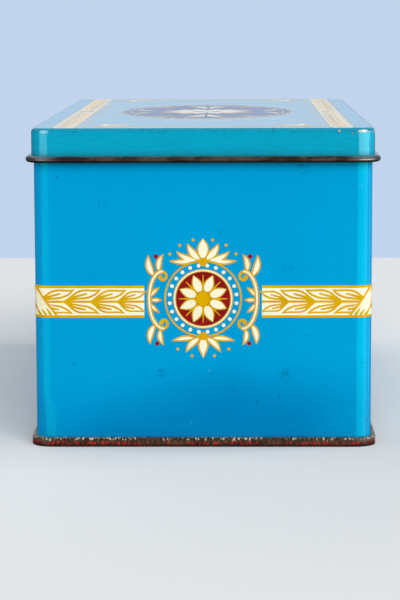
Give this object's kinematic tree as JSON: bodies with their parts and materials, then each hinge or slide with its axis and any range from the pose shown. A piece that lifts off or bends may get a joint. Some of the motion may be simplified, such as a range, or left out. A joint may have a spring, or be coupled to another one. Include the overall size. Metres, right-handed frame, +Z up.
{
  "type": "cookie tin",
  "caption": "Oblong tinplate biscuit tin with rounded corners, a seamed base and a slip-on lid with a rolled bead.",
  "frame": {"origin": "middle of the footprint, on the surface that the tin stands on", "axes": "+X across the width, to the right of someone facing the narrow front; +Y along the length, away from the front; +Z up"},
  "size_m": [0.1138, 0.2238, 0.1029],
  "materials": {
    "body_print": "gloss varnish over blue print",
    "lid_print": "gloss varnish over teal print",
    "bare_tinplate": "dull tinplate with rust on its seam"
  },
  "bodies": {
    "tin": {"body_wall": "body_print", "base_panel": "bare_tinplate"},
    "lid": {"lid": "lid_print"}
  },
  "joints": [
    {"name": "lid_lift", "type": "slide", "parent": "tin", "child": "lid", "axis": [0, 0, 1], "range_m": [0, 0.12]}
  ]
}
